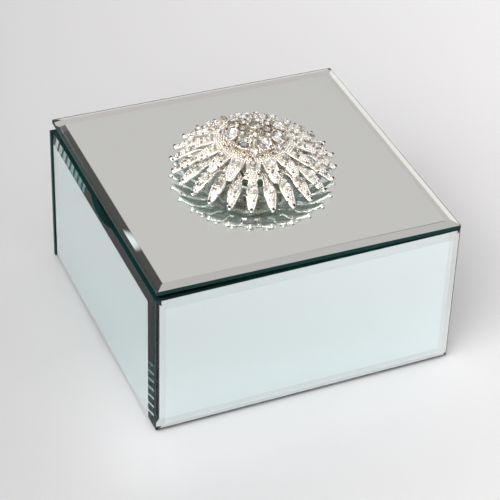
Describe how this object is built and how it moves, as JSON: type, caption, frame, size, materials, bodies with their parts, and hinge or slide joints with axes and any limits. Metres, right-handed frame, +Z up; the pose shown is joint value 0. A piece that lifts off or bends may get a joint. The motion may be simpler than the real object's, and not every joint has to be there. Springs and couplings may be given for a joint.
{
  "type": "vanity trinket box",
  "caption": "Square mirrored trinket box with a hinged lid, bevelled glass faces, a velvet-lined compartment and a jewelled sunburst brooch on the lid.",
  "frame": {"origin": "centre of the box in plan, on the plane it stands on", "axes": "+Z up; -Y is the front, with the thumb notch; +Y is the rear, with the hinges; +X is the box's right-hand side seen from the front"},
  "size_m": [0.1222, 0.1274, 0.0913],
  "materials": {
    "silvered_glass": "clear float glass with a green edge, silvered back, polished bevels",
    "painted_board": "thin fibreboard, painted dark",
    "velvet": "short black velvet pile",
    "felt": "thin black felt",
    "clear_rubber": "clear soft bumper",
    "nickel_plate": "nickel-plated steel",
    "screw_steel": "plated steel",
    "rhodium_silver": "bright silver-coloured plate, set with small crystals",
    "crystal": "faceted clear crystal, foiled back"
  },
  "bodies": {
    "base": {"front_mirror": "silvered_glass", "right_mirror": "silvered_glass", "left_mirror": "silvered_glass", "rear_mirror": "silvered_glass", "front_board": "painted_board", "rear_board": "painted_board", "left_board": "painted_board", "right_board": "painted_board", "base_board": "painted_board", "front_lining": "velvet", "rear_lining": "velvet", "left_lining": "velvet", "right_lining": "velvet", "floor_pad": "velvet", "base_felt": "felt", "hinge_box_leaf_left": "nickel_plate", "hinge_box_leaf_right": "nickel_plate", "hinge_pin_left": "nickel_plate", "hinge_pin_right": "nickel_plate", "hinge_screw_1": "screw_steel", "hinge_screw_2": "screw_steel", "hinge_screw_3": "screw_steel", "hinge_screw_4": "screw_steel"},
    "lid": {"lid_mirror": "silvered_glass", "lid_board": "painted_board", "lid_lining": "velvet", "lid_bumper_left": "clear_rubber", "lid_bumper_right": "clear_rubber", "hinge_lid_leaf_left": "nickel_plate", "hinge_lid_leaf_right": "nickel_plate", "brooch_foot": "rhodium_silver", "brooch_ray_tier": "rhodium_silver", "brooch_petal_tier": "rhodium_silver", "brooch_crown_basket": "rhodium_silver", "brooch_crown_plate": "rhodium_silver", "crown_stone_1": "crystal", "crown_stone_2": "crystal", "crown_stone_3": "crystal", "crown_stone_4": "crystal", "crown_stone_5": "crystal", "crown_stone_6": "crystal", "crown_stone_7": "crystal", "crown_stone_8": "crystal", "centre_stone": "crystal"}
  },
  "joints": [
    {"name": "lid_hinge", "type": "hinge", "parent": "base", "child": "lid", "pos_m": [0, 0.062, 0.0623], "axis": [-1, 0, 0], "range_deg": [0, 95]}
  ]
}
